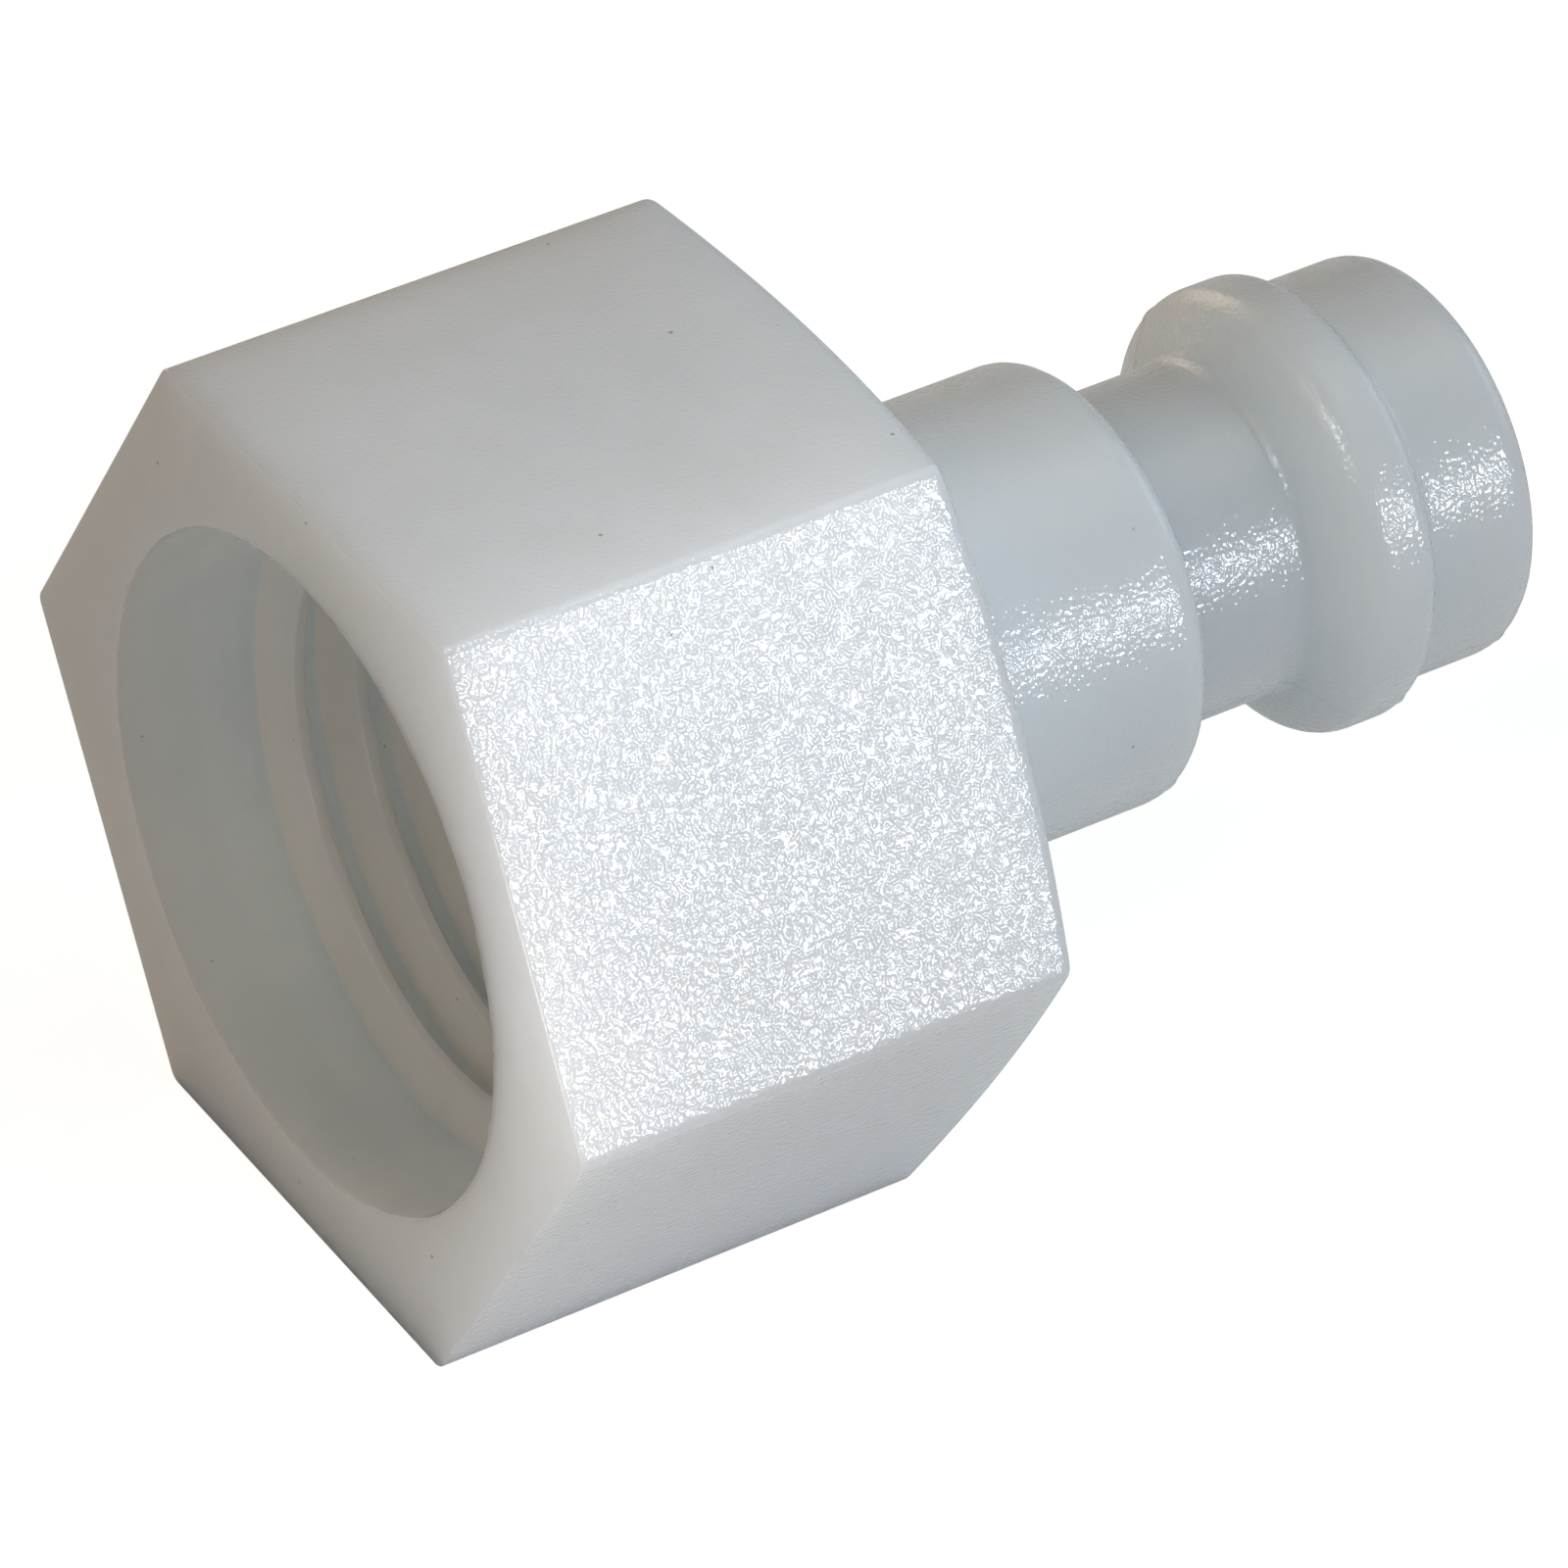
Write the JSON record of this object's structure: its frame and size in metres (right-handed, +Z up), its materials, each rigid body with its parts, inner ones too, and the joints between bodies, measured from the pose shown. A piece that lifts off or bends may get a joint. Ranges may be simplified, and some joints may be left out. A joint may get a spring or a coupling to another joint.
{
  "type": "quick coupler plug",
  "caption": "One-piece moulded plug for a quick coupler: hexagon with a female pipe thread and a flow passage to a grooved, beaded stub.",
  "frame": {"origin": "under the middle of the length, on the surface that the plug lies on", "axes": "+X along the plug's axis towards the nose, -X out of the threaded mouth, +Z up, one flat of the hexagon down"},
  "size_m": [0.0254, 0.0196, 0.017],
  "materials": {
    "natural_plastic": "fine spark-eroded grain, translucent milky white"
  },
  "bodies": {
    "root": {"plug_body": "natural_plastic"}
  },
  "joints": []
}
